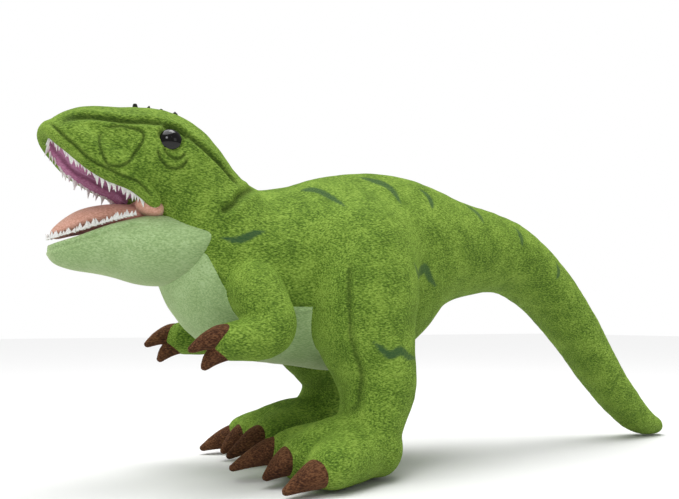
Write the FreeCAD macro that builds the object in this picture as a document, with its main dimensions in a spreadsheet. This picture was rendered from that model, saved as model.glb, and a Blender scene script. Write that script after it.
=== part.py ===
"""Stuffed toy tyrannosaur, 500 mm from snout to tail tip, standing on two feet and the tip of its tail.

Frame: millimetres, +Z up, snout towards -X, tail towards +X, the toy's left side towards -Y,
origin on the ground under the middle of the toy. Every stuffed member is a fabric cover (a closed shell)
round its own filling. Neighbouring members meet at ball-shaped seams, where the real fabric flexes.
"""

import FreeCAD, Part
import math
import os
import sys

from FreeCAD import Placement, Rotation, Vector

doc = FreeCAD.newDocument("StuffedTyrannosaur")
sheet = doc.addObject("Spreadsheet::Sheet", "Sizes")
sheet_rows = []


def size(alias, value):
    """One driving dimension, as a named cell of the sheet."""
    row = len(sheet_rows) + 1
    sheet.set(f"A{row}", alias)
    sheet.set(f"B{row}", str(value))
    sheet.setAlias(f"B{row}", alias)
    sheet_rows.append(alias)


def val(alias):
    """The value of a cell, for what an expression can't hold."""
    return float(getattr(sheet, alias))


# ---------------------------------------------------------------- driving dimensions
size("cover_thickness", 2)
size("filling_gap", 0.3)
size("leg_filling_gap", 0.5)
size("seam_gap", 0.5)
size("lining_thickness", 1.2)

# The neck is a ball between the torso and the head; its axis rises towards the head.
size("neck_x", -155)
size("neck_z", 149)
size("neck_ball", 33)
size("neck_rise", 31)
size("neck_rim", 8)

# The tail bends at three ball seams: its root, its middle and before its tip.
size("tail_root_x", 18)
size("tail_root_z", 146)
size("tail_root_ball", 34)
size("tail_middle_x", 100)
size("tail_middle_z", 135)
size("tail_middle_ball", 24)
size("tail_end_x", 160)
size("tail_end_z", 85)
size("tail_end_ball", 19.5)

# The mouth: the jaw turns about a line across its corners.
size("jaw_hinge_x", -196)
size("jaw_hinge_z", 150)

# Hips and shoulders: flat seats on the torso's sides.
size("hip_x", -60)
size("hip_z", 125)
size("hip_seat_y", 36)
size("hip_seat_radius", 37)
size("hip_seat_length", 90)
size("thigh_radius", 34)
size("thigh_outer_y", 67)
size("foot_y", 51)
# Above this height a leg's inner side is flat.
size("inner_flat_z", 45)
# The right leg is posed further back than the left one, and the right arm a little further back.
size("leg_back_left", 0)
size("leg_back_right", 22)
size("foot_back_left", 0)
size("foot_back_right", 15)
size("arm_back_left", 0)
size("arm_back_right", 7)
size("shoulder_x", -136)
size("shoulder_z", 104)
size("arm_inner_y", 42.5)

size("eye_x", -186)
size("eye_y", 28.3)
size("eye_z", 195)
size("eye_radius", 6)
size("eye_height", 4.2)
size("eye_rim", 1.2)
size("eye_stem_radius", 2.2)
size("eye_stem_length", 9)
size("eye_turn", 12)
size("eye_lift", 13)
size("washer_radius", 6)
size("washer_thickness", 1.6)

# Cross-sections of each stuffed member: x, z, half-height, half-width and the slope of its axis in degrees.
SECTIONS = {
    "torso": [
        (-170, 98, 9, 9, 0),
        (-162, 103, 29, 27, 0),
        (-146, 115, 46, 37, 0),
        (-120, 121, 52, 41.5, 0),
        (-90, 122, 58, 46, 0),
        (-50, 126, 63, 47, 0),
        (-15, 134, 56, 44, 0),
        (18, 146, 38, 36.5, 0),
    ],
    "tail_base": [
        (27, 146, 36, 36, 0),
        (50, 147, 32, 32, 0),
        (76, 144.5, 28.5, 28.5, -12),
        (100, 135, 26, 26, -28),
    ],
    "tail_mid": [
        (107.2, 131.1, 25.3, 25.3, -30),
        (122, 121, 24.4, 24.4, -37),
        (140, 106, 23, 23, -43),
        (160, 85, 21.5, 21.5, -49),
    ],
    "tail_tip": [
        (164.8, 79.5, 21, 21, -50),
        (182, 58, 19.2, 19.2, -52),
        (203, 33.5, 16.3, 16.3, -47),
        (220, 18, 12.8, 12.8, -36),
        (234, 10, 9.4, 9.4, -20),
        (250, 7, 4, 4, 0),
    ],
    "head": [
        (-250, 197, 9, 8, 0),
        (-241, 192, 18, 13.5, 0),
        (-228, 186, 28, 17.5, 0),
        (-212, 183, 31.5, 21.5, 0),
        (-195, 182.5, 34, 27, 0),
        (-178, 182, 33.5, 32, 0),
        (-162, 179, 32, 32, 0),
        (-146, 170, 28, 28, 0),
    ],
    "cheek": [
        (-195.5, 136, 19, 28, 0),
        (-182, 134, 21, 33, 0),
        (-168, 138, 19, 34, 0),
        (-152, 146, 12, 33, 0),
    ],
    "jaw": [
        (-250, 132, 6, 8, 0),
        (-240, 134, 11, 13.5, 0),
        (-224, 138, 17, 20, 0),
        (-210, 140, 20, 25, 0),
        (-201, 140, 21, 28, 0),
    ],
    "tongue": [
        (-243, 144.5, 2.5, 5, 0),
        (-232, 148.5, 4.5, 9, 0),
        (-218, 151.5, 5.5, 11.5, 0),
        (-205, 152.5, 4, 11, 0),
    ],
    "foot": [
        (-51, 16, 13, 14, 0),
        (-59, 18, 21, 22, 0),
        (-76, 18, 23, 24, 0),
        (-98, 14, 19, 29, 0),
        (-114, 11, 15, 31, 0),
        (-118, 10, 12, 27, 0),
    ],
    "shank": [
        (-60, 125, 26, 12, -90),
        (-69, 90, 27, 16, -90),
        (-63, 57, 22, 17, -85),
        (-68, 30, 18.5, 17, -90),
    ],
}
# Members whose sections are wider than they are tall.
WIDE = {"cheek", "jaw", "tongue", "foot"}
for member, sections in SECTIONS.items():
    for number, (x, z, tall, wide, slope) in enumerate(sections):
        size(f"{member}_x_{number}", x)
        size(f"{member}_z_{number}", z)
        size(f"{member}_tall_{number}", tall)
        size(f"{member}_wide_{number}", wide)
        size(f"{member}_slope_{number}", slope)
doc.recompute()

# How far inside the outer surface a solid lies.
OUTER = "0"
CAVITY = "Sizes.cover_thickness"
FILLING = "(Sizes.cover_thickness + Sizes.filling_gap)"
# A leg leans, so its filling stands further off the cover.
LEG_FILLING = "(Sizes.cover_thickness + Sizes.leg_filling_gap)"
OUTSIDE = "(0 - Sizes.filling_gap)"


def inset_of(inset):
    """The inset's value in millimetres."""
    return {
        OUTER: 0.0,
        CAVITY: val("cover_thickness"),
        FILLING: val("cover_thickness") + val("filling_gap"),
        OUTSIDE: -val("filling_gap"),
    }[inset]


# ---------------------------------------------------------------- building blocks
def bind(item, **expressions):
    """Binds properties to cells; a double underscore stands for a dot."""
    for name, expression in expressions.items():
        item.setExpression(name.replace("__", "."), expression)
    return item


def tube(member, inset=OUTER, y="0", shift="0", shares=None):
    """A loft through the member's elliptical sections, with its two ends set in by the inset too.

    Each section moves along X by its share of the shift.
    """
    count = len(SECTIONS[member])
    near, far = SECTIONS[member][0], SECTIONS[member][-1]
    rings = []
    for number in range(count):
        at = f"Sizes.{member}_%s_{number}"
        slope = val(f"{member}_slope_{number}")
        end = {0: "1", count - 1: "-1"}.get(number, "0")
        run = f"{end} * {inset}"
        moved = f"{shares[number] if shares else 1} * {shift}"
        ring = doc.addObject("Part::Ellipse", f"{member}_ring")
        across, up = ("wide", "tall") if member in WIDE else ("tall", "wide")
        bind(ring, MajorRadius=f"{at % across} - {inset} + 0.001", MinorRadius=f"{at % up} - {inset}")
        # The ring's normal lies along the member's axis, its major axis across or up.
        axis = Vector(math.cos(math.radians(slope)), 0, math.sin(math.radians(slope)))
        rise = Vector(-axis.z, 0, axis.x)
        first, second = (Vector(0, 1, 0), rise) if member in WIDE else (rise, Vector(0, -1, 0))
        # Where the sections are listed against the axis, the ends move the other way.
        if Vector(far[0] - near[0], 0, far[1] - near[1]).dot(axis) < 0:
            run = f"-1 * {run}"
        ring.Placement = Placement(Vector(), Rotation(first, second, axis, "XYZ"))
        bind(
            ring,
            Placement__Base__x=f"{at % 'x'} + {moved} + {run} * cos({at % 'slope'} * 1deg)",
            Placement__Base__y=y,
            Placement__Base__z=f"{at % 'z'} + {run} * sin({at % 'slope'} * 1deg)",
        )
        rings.append(ring)
    loft = doc.addObject("Part::Loft", f"{member}_loft")
    loft.Sections = rings
    loft.Solid = True
    loft.Ruled = False
    return loft


def ball(radius, x, z, y="0"):
    """A sphere, all its sizes expressions."""
    item = doc.addObject("Part::Sphere", "ball")
    return bind(item, Radius=radius, Placement__Base__x=x, Placement__Base__y=y, Placement__Base__z=z)


def crosswise(radius, length, x, y, z):
    """A cylinder along +Y from the plane y."""
    item = doc.addObject("Part::Cylinder", "crosswise")
    item.Placement = Placement(Vector(), Rotation(Vector(1, 0, 0), -90))
    return bind(
        item,
        Radius=radius,
        Height=length,
        Placement__Base__x=x,
        Placement__Base__y=y,
        Placement__Base__z=z,
    )


def block(length, width, height, x, y, z):
    """A box with its lowest corner at x, y, z."""
    item = doc.addObject("Part::Box", "block")
    return bind(
        item,
        Length=length,
        Width=width,
        Height=height,
        Placement__Base__x=x,
        Placement__Base__y=y,
        Placement__Base__z=z,
    )


def half_space(point, direction, reach=400):
    """A large block whose face passes through the point, on the side that the direction shows."""
    item = doc.addObject("Part::Box", "half_space")
    item.Length = item.Width = item.Height = reach
    turn = Rotation(Vector(0, 0, 1), direction)
    corner = point - turn.multVec(Vector(reach / 2, reach / 2, 0))
    item.Placement = Placement(corner, turn)
    return item


def slab(outline, half_width):
    """A polygon in the middle plane, given as x and z, thickened to both sides."""
    wire = doc.addObject("Part::Polygon", "outline")
    wire.Nodes = [Vector(x, 0, z) for x, z in outline]
    wire.Close = True
    item = doc.addObject("Part::Extrusion", "slab")
    item.Base = wire
    item.DirMode = "Custom"
    item.Dir = Vector(0, 1, 0)
    item.LengthFwd = 2 * half_width
    item.Symmetric = True
    item.Solid = True
    return item


def cut(base, *tools):
    for tool in tools:
        item = doc.addObject("Part::Cut", "cut")
        item.Base = base
        item.Tool = tool
        item.Refine = False
        base = item
    return base


def fuse(*shapes):
    item = doc.addObject("Part::MultiFuse", "fuse")
    item.Shapes = list(shapes)
    item.Refine = False
    return item


def common(*shapes):
    item = doc.addObject("Part::MultiCommon", "common")
    item.Shapes = list(shapes)
    item.Refine = False
    return item


nodes = []


def node(item, name):
    """Makes an object a sub-part with a name of its own."""
    item.Label = name
    nodes.append(item)
    return item


def stuffed(name, make):
    """A fabric cover and its filling, from a function that makes the member at a given inset."""
    node(cut(make(OUTER), make(CAVITY)), f"{name}_cover")
    node(make(FILLING), f"{name}_filling")


# ---------------------------------------------------------------- seams between members
neck_axis = Vector(-math.cos(math.radians(val("neck_rise"))), 0, math.sin(math.radians(val("neck_rise"))))
neck_centre = Vector(val("neck_x"), 0, val("neck_z"))


def neck_socket(inset):
    """The ball-shaped hollow that a neighbour of the neck has."""
    return ball(f"Sizes.neck_ball + Sizes.seam_gap + {inset}", "Sizes.neck_x", "Sizes.neck_z")


def beyond_neck(side, inset):
    """What a neighbour loses past its rim: side is 1 for the torso and -1 for the head."""
    rim = neck_centre - neck_axis * side * (val("neck_rim") + inset_of(inset))
    return half_space(rim, neck_axis * side)


def tail_ball(place, inset):
    """The rounded end of the member in front of a tail seam."""
    return ball(f"Sizes.tail_{place}_ball - {inset}", f"Sizes.tail_{place}_x", f"Sizes.tail_{place}_z")


def tail_socket(place, inset):
    """The hollow that takes that end."""
    return ball(
        f"Sizes.tail_{place}_ball + Sizes.seam_gap + {inset}",
        f"Sizes.tail_{place}_x",
        f"Sizes.tail_{place}_z",
    )


def hip_seat(side, inset):
    """What the torso loses beside a thigh: a round seat, and a flat below it where the leg swings."""
    reach = "60"
    start = f"Sizes.hip_seat_y - {inset}" if side > 0 else f"0 - Sizes.hip_seat_y + {inset} - {reach}"
    return fuse(
        crosswise(f"Sizes.hip_seat_radius + {inset}", reach, "Sizes.hip_x", start, "Sizes.hip_z"),
        block(
            f"Sizes.hip_seat_length + 2 * {inset}",
            reach,
            f"Sizes.hip_z - 40 + 2 * {inset}",
            f"Sizes.hip_x - Sizes.hip_seat_length / 2 - {inset}",
            start,
            f"40 - 2 * {inset}",
        ),
    )


# ---------------------------------------------------------------- torso, with its pale belly panel
def torso(inset):
    return cut(
        fuse(tube("torso", inset), tail_ball("root", inset)),
        hip_seat(1, inset),
        hip_seat(-1, inset),
        beyond_neck(1, inset),
        neck_socket(inset),
    )


torso_skin = cut(torso(OUTER), torso(CAVITY))
# The pale panel runs from the throat down the chest and along the belly to the crotch.
belly_zone = slab([(-190, 150), (-166, 131), (-157, 112), (-152, 103), (-95, 103), (-24, 92), (-24, 40), (-190, 40)], 60)
node(cut(torso_skin, belly_zone), "torso_cover")
node(common(torso_skin, belly_zone), "belly_panel")
node(torso(FILLING), "torso_filling")


# ---------------------------------------------------------------- neck
def neck(inset):
    return ball(f"Sizes.neck_ball - {inset}", "Sizes.neck_x", "Sizes.neck_z")


stuffed("neck", neck)


# ---------------------------------------------------------------- tail
def tail_base(inset):
    return cut(fuse(tube("tail_base", inset), tail_ball("middle", inset)), tail_socket("root", inset))


def tail_mid(inset):
    return cut(fuse(tube("tail_mid", inset), tail_ball("end", inset)), tail_socket("middle", inset))


def tail_tip(inset):
    return cut(tube("tail_tip", inset), tail_socket("end", inset))


stuffed("tail_base", tail_base)
stuffed("tail_mid", tail_mid)
stuffed("tail_tip", tail_tip)

# ---------------------------------------------------------------- head
# Points of the upper lip from the snout to the mouth's corner, then the seam above the cheek.
LIP = [(-256, 205), (-250, 196), (-240, 182), (-228, 172), (-213, 168), (-203, 162), (-195, 155), (-130, 155)]
# Points of the jaw's upper edge from its tip to the mouth's corner.
JAW_EDGE = [(-256, 135), (-246, 139), (-233, 143), (-216, 149), (-200, 153), (-190, 153)]


def below_lip(rise):
    """Everything under the upper lip, raised by rise."""
    edge = [(x, z + rise) for x, z in LIP]
    return slab([*edge, (-130, 90), (-256, 90)], 60)


def above_jaw(rise):
    edge = [(x, z + rise) for x, z in JAW_EDGE]
    return slab([*edge, (-190, 200), (-256, 200)], 60)


def stem_hole(side):
    """Where an eye's stem passes through the head's skin."""
    hole = doc.addObject("Part::Cylinder", "stem_hole")
    bind(hole, Radius="Sizes.eye_stem_radius + Sizes.filling_gap", Height="30")
    hole.Placement = eye_placement(side).multiply(Placement(Vector(0, 0, -20), Rotation()))
    return hole


def eye_placement(side):
    """The middle of an eye's back face, with +Z along the way it looks."""
    turn, lift = math.radians(val("eye_turn")), math.radians(val("eye_lift"))
    looks = Vector(-math.sin(turn) * math.cos(lift), side * math.cos(turn) * math.cos(lift), math.sin(lift))
    return Placement(
        Vector(val("eye_x"), side * val("eye_y"), val("eye_z")), Rotation(Vector(0, 0, 1), looks)
    )


def eye_pocket(side):
    """A recess that the back of an eye and its washer sit in, so that they press on the skin only."""
    pocket = doc.addObject("Part::Cylinder", "eye_pocket")
    bind(pocket, Radius="Sizes.washer_radius + Sizes.filling_gap", Height="9")
    pocket.Placement = eye_placement(side).multiply(Placement(Vector(0, 0, -10.5), Rotation()))
    return pocket


def eye_seat(side):
    """The flat that an eye's back face rests on."""
    seat = doc.addObject("Part::Cylinder", "eye_seat")
    bind(seat, Radius="Sizes.eye_radius + Sizes.filling_gap", Height="12")
    seat.Placement = eye_placement(side)
    return seat


def head(inset):
    return cut(tube("head", inset), below_lip(inset_of(inset)), beyond_neck(-1, inset), neck_socket(inset))


eye_holes = [stem_hole(1), stem_hole(-1), eye_seat(1), eye_seat(-1)]
node(cut(head(OUTER), head(CAVITY), *eye_holes), "head_cover")
node(cut(head(FILLING), eye_pocket(1), eye_pocket(-1)), "head_filling")


def cheek(inset):
    """The rear of the pale jaw, sewn fast under the head beside the throat."""
    return cut(
        tube("cheek", inset),
        block("200", "200", "80", "-256", "-100", f"155 - Sizes.filling_gap - {inset}"),
        beyond_neck(-1, inset),
        neck_socket(inset),
    )


stuffed("cheek", cheek)

lining = val("lining_thickness")
roof_edge = [*LIP[2:6], (-198, 157.6)]
roof = slab([*roof_edge, *[(x, z - lining) for x, z in reversed(roof_edge)]], 60)
# The lining stops inside the row of teeth.
LINING_INSET = "4.5"
node(common(roof, tube("head", LINING_INSET)), "palate_lining")


# ---------------------------------------------------------------- jaw
def jaw(inset):
    return cut(tube("jaw", inset), above_jaw(-inset_of(inset)))


stuffed("jaw", jaw)
floor_edge = JAW_EDGE[1:5]
floor_band = slab([*floor_edge, *[(x, z + lining) for x, z in reversed(floor_edge)]], 60)
node(common(floor_band, tube("jaw", FILLING)), "mouth_floor_lining")
node(cut(tube("tongue"), slab([(-256, 100), *[(x, z + lining + 0.1) for x, z in JAW_EDGE], (-190, 100)], 60)), "tongue")


# ---------------------------------------------------------------- teeth: zigzag felt strips sewn inside the lips
def felt_strip(start, end, count, tooth, band=1.4, felt=1.0):
    """A strip between two points with a zigzag edge; tooth is its length, upwards if positive."""
    along = (end - start) * (1.0 / count)
    outward = Vector(-along.y, along.x, 0).normalize()
    up = Vector(0, 0, 1) if tooth > 0 else Vector(0, 0, -1)
    edge = [start, start + up * band]
    for number in range(count):
        edge.append(start + along * (number + 0.5) + up * (band + abs(tooth)))
        edge.append(start + along * (number + 1) + up * band)
    edge += [end, start]
    return Part.Face(Part.makePolygon(edge)).extrude(outward * felt)


def felt_arch(name, points, counts, tooth):
    """Strips down the left side, across the front and up the right side."""
    right = [Vector(x, y, z) for x, y, z in points]
    left = [Vector(p.x, -p.y, p.z) for p in reversed(right)]
    loop = left + right
    strips = []
    for start, end, count in zip(loop, loop[1:], counts):
        strips.append(felt_strip(start, end, count, tooth))
    arch = strips[0]
    for strip in strips[1:]:
        arch = arch.fuse(strip)
    item = doc.addObject("Part::Feature", name)
    item.Shape = arch.removeSplitter()
    return node(item, name)


UPPER_TOOTH_LINE = [
    (-243, 7.5, 185.9), (-240, 8.8, 181.7), (-228, 13.5, 171.7), (-213, 16.8, 167.7), (-203, 18, 161.6)
]
LOWER_TOOTH_LINE = [(-244, 7.5, 139.9), (-233, 13.5, 143.3), (-216, 20.5, 149.3), (-205, 24, 152.2)]
felt_arch("upper_teeth", UPPER_TOOTH_LINE, [3, 4, 3, 1, 5, 1, 3, 4, 3], -4.5)
felt_arch("lower_teeth", LOWER_TOOTH_LINE, [3, 4, 3, 4, 3, 4, 3], 3)


# ---------------------------------------------------------------- eyes: domed buttons on ridged stems, held by washers
def sketch_on(body, role, name):
    """An empty sketch on one of the body's own origin planes."""
    sketch = body.newObject("Sketcher::SketchObject", name)
    plane = next(f for f in body.Origin.OriginFeatures if f.Role == role)
    sketch.AttachmentSupport = [(plane, "")]
    sketch.MapMode = "FlatFace"
    return sketch


def eye(side, name):
    """A half outline turned about the stem's axis: stem, back face, rim and dome."""
    body = doc.addObject("PartDesign::Body", name)
    sketch = sketch_on(body, "XZ_Plane", f"{name}_outline")
    radius, rim, height = val("eye_radius"), val("eye_rim"), val("eye_height")
    stem, length = val("eye_stem_radius"), val("eye_stem_length")
    # The dome is the arc through the rim's edge and the crown.
    rise = height - rim
    dome = (radius**2 + rise**2) / (2 * rise)
    centre = Vector(0, height - dome, 0)
    low = math.atan2(rim - centre.y, radius)
    points = [(0, height), (0, -length), (stem, -length), (stem, 0), (radius, 0), (radius, rim)]
    for start, end in zip(points, points[1:]):
        sketch.addGeometry(Part.LineSegment(Vector(*start, 0), Vector(*end, 0)), False)
    circle = Part.Circle(centre, Vector(0, 0, 1), dome)
    sketch.addGeometry(Part.ArcOfCircle(circle, low, math.pi / 2), False)
    turned = body.newObject("PartDesign::Revolution", f"{name}_turned")
    turned.Profile = sketch
    turned.ReferenceAxis = (sketch, ["V_Axis"])
    turned.Angle = 360
    body.Placement = eye_placement(side)
    return node(body, name)


# The curved skin stands between an eye's flat back and its flat washer.
WASHER_SLACK = 1.8


def washer(side, name):
    """The locking ring pressed up the stem inside the head."""
    body = doc.addObject("PartDesign::Body", name)
    sketch = sketch_on(body, "XY_Plane", f"{name}_rings")
    for radius in (val("washer_radius"), val("eye_stem_radius") + 0.05):
        sketch.addGeometry(Part.Circle(Vector(), Vector(0, 0, 1), radius), False)
    pad = body.newObject("PartDesign::Pad", f"{name}_pad")
    pad.Profile = sketch
    bind(pad, Length="Sizes.washer_thickness")
    behind = -val("cover_thickness") - WASHER_SLACK - val("washer_thickness")
    body.Placement = eye_placement(side).multiply(Placement(Vector(0, 0, behind), Rotation()))
    return node(body, name)


for side, hand in ((-1, "left"), (1, "right")):
    eye(side, f"eye_{hand}")
    washer(side, f"eye_washer_{hand}")

# ---------------------------------------------------------------- crest: four black nubs sewn along the crown
NUBS = [(-197, 217.0, 1.9), (-189, 217.2, 1.4), (-181.5, 216.6, 1.5), (-173, 215.0, 2.0)]
nub_solids = []
for x, z, radius in NUBS:
    bead = doc.addObject("Part::Sphere", "nub")
    bead.Radius = radius
    bead.Placement.Base = Vector(x, 0, z)
    nub_solids.append(cut(bead, tube("head", OUTSIDE)))
crest = doc.addObject("Part::Compound", "crest")
crest.Links = nub_solids
node(crest, "crest_nubs")


# ---------------------------------------------------------------- legs
# How much of a leg's set-back reaches each section of its shank, from the hip down.
SHANK_SHARES = (0.0, 0.35, 0.9, 1.0)


def y_of(side, alias):
    return f"{side} * Sizes.{alias}"


def leg(side):
    """A leg as a function of its inset, on the side given."""

    def make(inset):
        inner = f"Sizes.hip_seat_y + Sizes.seam_gap + {inset}"
        depth = f"Sizes.thigh_outer_y - Sizes.hip_seat_y - Sizes.seam_gap - 2 * {inset}"
        start = inner if side > 0 else f"0 - ({inner}) - ({depth})"
        thigh = crosswise(f"Sizes.thigh_radius - {inset}", depth, "Sizes.hip_x", start, "Sizes.hip_z")
        middle = f"{side} * (Sizes.hip_seat_y + Sizes.thigh_outer_y) / 2"
        hand = "right" if side > 0 else "left"
        shank = tube("shank", inset, middle, f"Sizes.leg_back_{hand}", SHANK_SHARES)
        foot = tube("foot", inset, y_of(side, "foot_y"), f"Sizes.foot_back_{hand}")
        limb = fuse(thigh, shank, foot)
        # The inner side is flat above the ankle, beside the torso, and the foot is flat where it meets the sole.
        wall = f"Sizes.hip_seat_y + Sizes.seam_gap + {inset}"
        inside_start = f"{wall} - 60" if side > 0 else f"0 - ({wall})"
        beside = block("200", "60", "200", "-160", inside_start, f"Sizes.inner_flat_z - {inset}")
        under = block("200", "200", "60", "-160", "-100", f"-60 + Sizes.cover_thickness + {inset}")
        return cut(limb, beside, under)

    return make


def sole(side):
    """A fabric panel under the foot, the outline of the foot where it is cut flat."""
    hand = "right" if side > 0 else "left"
    outline = tube("foot", OUTER, y_of(side, "foot_y"), f"Sizes.foot_back_{hand}")
    return common(outline, block("200", "200", "Sizes.cover_thickness", "-160", "-100", "0"))


CLAW_BASE_RADIUS = 8.2
CLAW_TIP_RADIUS = 1.6
# Each claw from its base to its tip, for the right foot: inner, middle and outer toe.
FOOT_CLAWS = [
    (Vector(-105, 33, 14), Vector(-145, 20, 8)),
    (Vector(-109, 51, 13), Vector(-140, 49, 6)),
    (Vector(-103, 69, 13), Vector(-140, 79, 4)),
]
HAND_CLAWS = [
    (Vector(-162, 54, 86), Vector(-183, 51, 78)),
    (Vector(-162, 52, 79), Vector(-177, 50, 69)),
]


def claw(side, start, end, base, tip):
    """A plain stuffed horn."""
    item = doc.addObject("Part::Cone", "claw")
    start = Vector(start.x, side * start.y, start.z)
    end = Vector(end.x, side * end.y, end.z)
    item.Radius1 = base
    item.Radius2 = tip
    item.Height = (end - start).Length
    item.Placement = Placement(start, Rotation(Vector(0, 0, 1), end - start))
    return item


def claws(name, side, ends, limb, base, tip, back):
    """A limb's claws as one group of separate solids, clear of the limb and set back with it."""
    horns = []
    for start, end in ends:
        start, end = start + Vector(back, 0, 0), end + Vector(back, 0, 0)
        horn = cut(claw(side, start, end, base, tip), limb)
        for other in horns:
            horn = cut(horn, other)
        horns.append(horn)
    group = doc.addObject("Part::Compound", name)
    group.Links = horns
    return node(group, name)


for side, hand in ((-1, "left"), (1, "right")):
    make_leg = leg(side)
    node(cut(make_leg(OUTER), make_leg(CAVITY)), f"leg_cover_{hand}")
    node(make_leg(LEG_FILLING), f"leg_filling_{hand}")
    node(sole(side), f"sole_{hand}")
    foot = tube("foot", OUTSIDE, y_of(side, "foot_y"), f"Sizes.foot_back_{hand}")
    back = val(f"foot_back_{hand}")
    claws(f"foot_claws_{hand}", side, FOOT_CLAWS, foot, CLAW_BASE_RADIUS, CLAW_TIP_RADIUS, back)


# ---------------------------------------------------------------- arms
# Elbow and wrist of the right arm; the shoulder is the joint.
ELBOW = Vector(-134, 57, 90)
WRIST = Vector(-166, 53, 82)
SHOULDER_RADIUS = 14
ELBOW_RADIUS = 14.2
WRIST_RADIUS = 10


def limb_between(start, end, first, last):
    """A cone from one joint's ball to the next."""
    item = doc.addObject("Part::Cone", "limb")
    item.Radius1 = first
    item.Radius2 = last + 0.01
    item.Height = (end - start).Length
    item.Placement = Placement(start, Rotation(Vector(0, 0, 1), end - start))
    return item


def arm_back(side):
    return val("arm_back_right") if side > 0 else val("arm_back_left")


def arm(side):
    def make(inset):
        thin = inset_of(inset)
        back = arm_back(side)
        shoulder = Vector(val("shoulder_x") + back, side * ELBOW.y, val("shoulder_z"))
        elbow = Vector(ELBOW.x + back, side * ELBOW.y, ELBOW.z)
        wrist = Vector(WRIST.x + back, side * WRIST.y, WRIST.z)
        wrist = wrist - (wrist - elbow).normalize() * thin
        at = f"{side} * {ELBOW.y}"
        limb = fuse(
            ball(str(SHOULDER_RADIUS - thin), str(shoulder.x), "Sizes.shoulder_z", at),
            ball(str(ELBOW_RADIUS - thin), str(elbow.x), str(ELBOW.z), at),
            limb_between(shoulder, elbow, SHOULDER_RADIUS - thin, ELBOW_RADIUS - thin),
            limb_between(elbow, wrist, ELBOW_RADIUS - thin, WRIST_RADIUS - thin),
        )
        wall = f"Sizes.arm_inner_y + Sizes.seam_gap + {inset}"
        inside_start = f"{wall} - 40" if side > 0 else f"0 - ({wall})"
        return cut(limb, block("120", "40", "120", "-200", inside_start, "40"))

    return make


def wrist_clear(side):
    """The forearm's end, which the claws start from."""
    elbow = Vector(ELBOW.x + arm_back(side), side * ELBOW.y, ELBOW.z)
    wrist = Vector(WRIST.x + arm_back(side), side * WRIST.y, WRIST.z)
    return limb_between(elbow, wrist, ELBOW_RADIUS + 0.3, WRIST_RADIUS + 0.3)


for side, hand in ((-1, "left"), (1, "right")):
    make_arm = arm(side)
    node(cut(make_arm(OUTER), make_arm(CAVITY)), f"arm_cover_{hand}")
    node(make_arm(FILLING), f"arm_filling_{hand}")
    claws(f"hand_claws_{hand}", side, HAND_CLAWS, wrist_clear(side), 5.2, 1.2, arm_back(side))

# ---------------------------------------------------------------- checking and writing
doc.recompute()
faults = [o.Name for o in doc.Objects if "Invalid" in o.State or "Error" in o.State]
for item in nodes:
    if item.Shape.isNull() or not item.Shape.isValid() or not item.Shape.Solids:
        faults.append(item.Label)
os.makedirs("parts", exist_ok=True)
if faults:
    print("failed:", sorted(set(faults)))
    sys.exit(1)
for item in nodes:
    item.Shape.exportStep(f"parts/{item.Label}.step")
    print(f"{item.Label}: {len(item.Shape.Solids)} solids, {item.Shape.Volume / 1000:.1f} cm3")
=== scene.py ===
"""Stuffed toy tyrannosaur, 500 mm long, sewn from short-pile plush and stuffed firm.

It stands on two feet and the tip of its tail. Lengths below are in millimetres until a mesh is made.
"""
import math

import bmesh
import bpy
import numpy as np
import openvdb
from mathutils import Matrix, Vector, noise
from mathutils.kdtree import KDTree


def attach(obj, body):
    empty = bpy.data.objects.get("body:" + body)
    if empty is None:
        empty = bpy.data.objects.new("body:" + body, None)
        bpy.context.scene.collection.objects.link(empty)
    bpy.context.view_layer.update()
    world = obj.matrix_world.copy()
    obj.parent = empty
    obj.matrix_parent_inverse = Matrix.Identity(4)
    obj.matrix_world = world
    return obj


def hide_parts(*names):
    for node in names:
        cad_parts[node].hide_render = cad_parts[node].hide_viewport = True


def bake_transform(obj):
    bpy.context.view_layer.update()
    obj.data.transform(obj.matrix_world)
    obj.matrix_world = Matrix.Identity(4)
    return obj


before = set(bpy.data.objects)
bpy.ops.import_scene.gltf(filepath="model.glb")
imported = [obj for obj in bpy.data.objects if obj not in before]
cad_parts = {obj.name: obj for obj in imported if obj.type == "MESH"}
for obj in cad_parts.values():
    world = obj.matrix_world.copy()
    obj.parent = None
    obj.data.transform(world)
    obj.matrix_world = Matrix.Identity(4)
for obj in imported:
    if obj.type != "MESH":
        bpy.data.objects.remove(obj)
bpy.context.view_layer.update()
MM = 0.001

# ---------------------------------------------------------------- camera, light and floor
# A close camera at the height of the toy's belly, off its left front, on a white studio floor.
camera = bpy.data.objects.new("camera", bpy.data.cameras.new("camera"))
bpy.context.scene.collection.objects.link(camera)
camera_turn, camera_pitch = math.radians(28), math.radians(2)
camera_look = Vector((
    math.sin(camera_turn) * math.cos(camera_pitch),
    math.cos(camera_turn) * math.cos(camera_pitch),
    -math.sin(camera_pitch),
))
camera.rotation_euler = camera_look.to_track_quat("-Z", "Y").to_euler()
camera.location = (-0.3353, -0.4680, 0.0950)
camera.data.sensor_width = 36
camera.data.lens = 43.48
camera.data.shift_x = 0.0507
camera.data.shift_y = 0.1466
camera.data.clip_start = 0.01
bpy.context.scene.camera = camera

world = bpy.data.worlds.new("studio")
world.use_nodes = True
backdrop = world.node_tree.nodes["Background"]
backdrop.inputs["Color"].default_value = (1.0, 1.0, 1.0, 1)
# The backdrop shows white, and lights the toy less than it shows.
seen = world.node_tree.nodes.new("ShaderNodeLightPath")
strength = world.node_tree.nodes.new("ShaderNodeMapRange")
strength.inputs["To Min"].default_value = 0.28
strength.inputs["To Max"].default_value = 1.0
world.node_tree.links.new(seen.outputs["Is Camera Ray"], strength.inputs["Value"])
world.node_tree.links.new(strength.outputs["Result"], backdrop.inputs["Strength"])
bpy.context.scene.world = world
bpy.context.scene.view_settings.view_transform = "Standard"


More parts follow.
